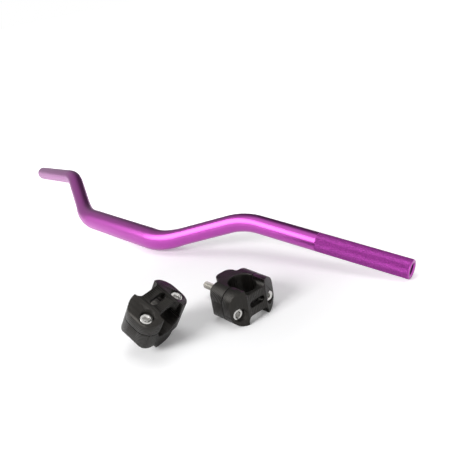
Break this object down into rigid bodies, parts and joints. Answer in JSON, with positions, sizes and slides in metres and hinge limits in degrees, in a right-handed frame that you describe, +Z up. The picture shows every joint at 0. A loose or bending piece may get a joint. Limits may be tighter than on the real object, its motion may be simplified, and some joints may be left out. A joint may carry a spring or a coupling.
{
  "type": "motorbike handlebar with two clamps",
  "caption": "Tapered motorbike handlebar tube lying beside split bar clamps, each a riser and a bolted cap with a stud for the fork yoke.",
  "frame": {"origin": "on the surface that the set lies on, under the middle of the box round the whole set", "axes": "+X along the bar towards its knurled end, +Y towards the swept-back bar ends, +Z up"},
  "size_m": [0.8036, 0.2712, 0.0638],
  "materials": {
    "bar_anodised": "satin anodised",
    "clamp_anodised": "satin anodised",
    "bolt_steel": "zinc plated",
    "stud_steel": "zinc plated"
  },
  "bodies": {
    "bar_and_risers": {"handlebar": "bar_anodised", "right_riser": "clamp_anodised", "right_stud": "stud_steel", "left_riser": "clamp_anodised", "left_stud": "stud_steel"},
    "right_cap": {"right_cap": "clamp_anodised"},
    "right_bolt_near": {"right_bolt_near": "bolt_steel"},
    "right_bolt_far": {"right_bolt_far": "bolt_steel"},
    "left_cap": {"left_cap": "clamp_anodised"},
    "left_bolt_near": {"left_bolt_near": "bolt_steel"},
    "left_bolt_far": {"left_bolt_far": "bolt_steel"}
  },
  "joints": [
    {"name": "right_cap_lift", "type": "slide", "parent": "bar_and_risers", "child": "right_cap", "axis": [0.999, -0.0436, 0], "range_m": [0, 0.0116]},
    {"name": "right_bolt_near_turn", "type": "hinge", "parent": "right_cap", "child": "right_bolt_near", "pos_m": [0.29168, -0.03842, 0.014], "axis": [0.999, -0.0436, 0], "range_deg": [0, 3344.8]},
    {"name": "right_bolt_far_turn", "type": "hinge", "parent": "right_cap", "child": "right_bolt_far", "pos_m": [0.29352, 0.00354, 0.014], "axis": [0.999, -0.0436, 0], "range_deg": [0, 3344.8]},
    {"name": "left_cap_lift", "type": "slide", "parent": "bar_and_risers", "child": "left_cap", "axis": [0.5376, 0.0827, 0.8392], "range_m": [0, 0.0116]},
    {"name": "left_bolt_near_turn", "type": "hinge", "parent": "left_cap", "child": "left_bolt_near", "pos_m": [0.26609, -0.12397, 0.03447], "axis": [0.5376, 0.0827, 0.8392], "range_deg": [0, 3344.8]},
    {"name": "left_bolt_far_turn", "type": "hinge", "parent": "left_cap", "child": "left_bolt_far", "pos_m": [0.2597, -0.08246, 0.03447], "axis": [0.5376, 0.0827, 0.8392], "range_deg": [0, 3344.8]}
  ],
  "couplings": [
    {"joint": "right_bolt_near_turn", "follows": "right_cap_lift", "rad_per_m": 5026.5},
    {"joint": "right_bolt_far_turn", "follows": "right_cap_lift", "rad_per_m": 5026.5},
    {"joint": "left_bolt_near_turn", "follows": "left_cap_lift", "rad_per_m": 5026.5},
    {"joint": "left_bolt_far_turn", "follows": "left_cap_lift", "rad_per_m": 5026.5}
  ]
}
